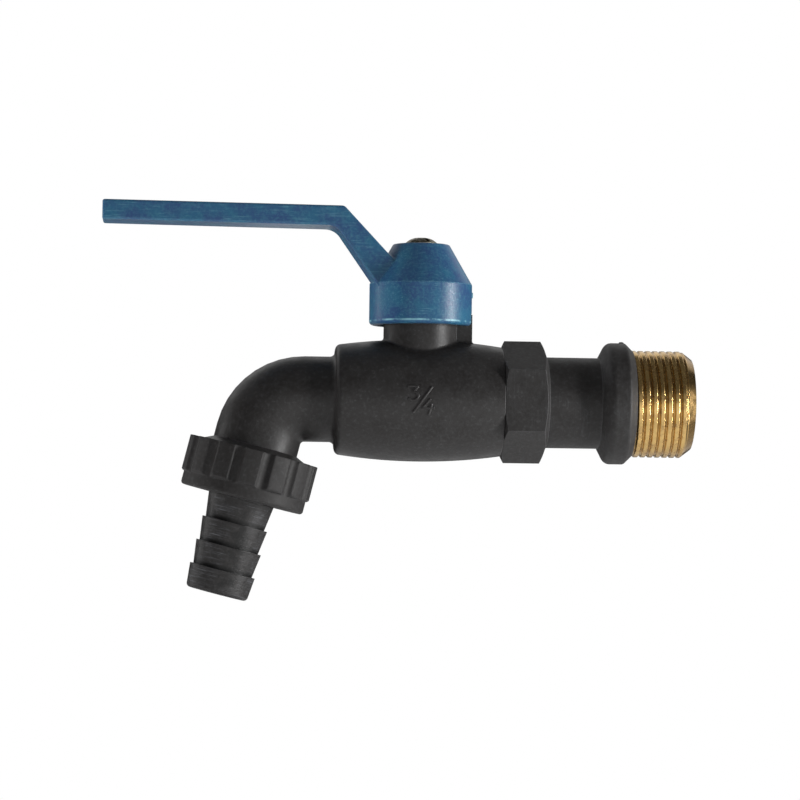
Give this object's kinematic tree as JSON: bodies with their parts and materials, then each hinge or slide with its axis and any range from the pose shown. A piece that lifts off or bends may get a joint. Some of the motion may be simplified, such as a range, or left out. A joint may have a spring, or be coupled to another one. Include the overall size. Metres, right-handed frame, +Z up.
{
  "type": "garden tap",
  "caption": "Quarter-turn garden tap with a moulded barrel, bent spout, lever handle, brass male inlet thread and a union nut that holds a barbed hose tail.",
  "frame": {"origin": "on the inlet axis, at the shoulder where the brass thread meets the collar", "axes": "+X out along the inlet thread towards the pipe, +Z up along the stem, the spout at -X"},
  "size_m": [0.146, 0.0324, 0.0978],
  "materials": {
    "black_plastic": "moulded, satin",
    "blue_plastic": "moulded, semi-gloss, lightly scuffed",
    "brass": "turned",
    "screw_metal": "yellow passivated",
    "chromed_ball": "polished",
    "white_seat": "turned",
    "seal_rubber": "moulded"
  },
  "bodies": {
    "tap": {"body": "black_plastic", "inlet_connector": "black_plastic", "inlet_thread": "brass", "connector_seal": "seal_rubber", "inlet_seat": "white_seat", "outlet_seat": "white_seat", "inlet_seat_cushion": "seal_rubber", "outlet_seat_cushion": "seal_rubber"},
    "lever": {"handle": "blue_plastic", "handle_screw": "screw_metal", "stem": "brass", "stem_thrust_washer": "white_seat", "lower_stem_seal": "seal_rubber", "upper_stem_seal": "seal_rubber", "ball": "chromed_ball"},
    "tail": {"hose_tail": "black_plastic", "hose_washer": "seal_rubber"},
    "nut": {"union_nut": "black_plastic"}
  },
  "joints": [
    {"name": "lever_turn", "type": "hinge", "parent": "tap", "child": "lever", "pos_m": [-0.0526, 0, 0], "axis": [0, 0, 1], "range_deg": [-90, 0]},
    {"name": "tail_drop", "type": "slide", "parent": "tap", "child": "tail", "axis": [-0.2419, 0, -0.9703], "range_m": [0, 0.00544]},
    {"name": "nut_turn", "type": "hinge", "parent": "tail", "child": "nut", "pos_m": [-0.09, 0, 0], "axis": [-0.2419, 0, -0.9703], "range_deg": [0, 1080]}
  ],
  "couplings": [
    {"joint": "nut_turn", "follows": "tail_drop", "rad_per_m": 3463.7}
  ]
}
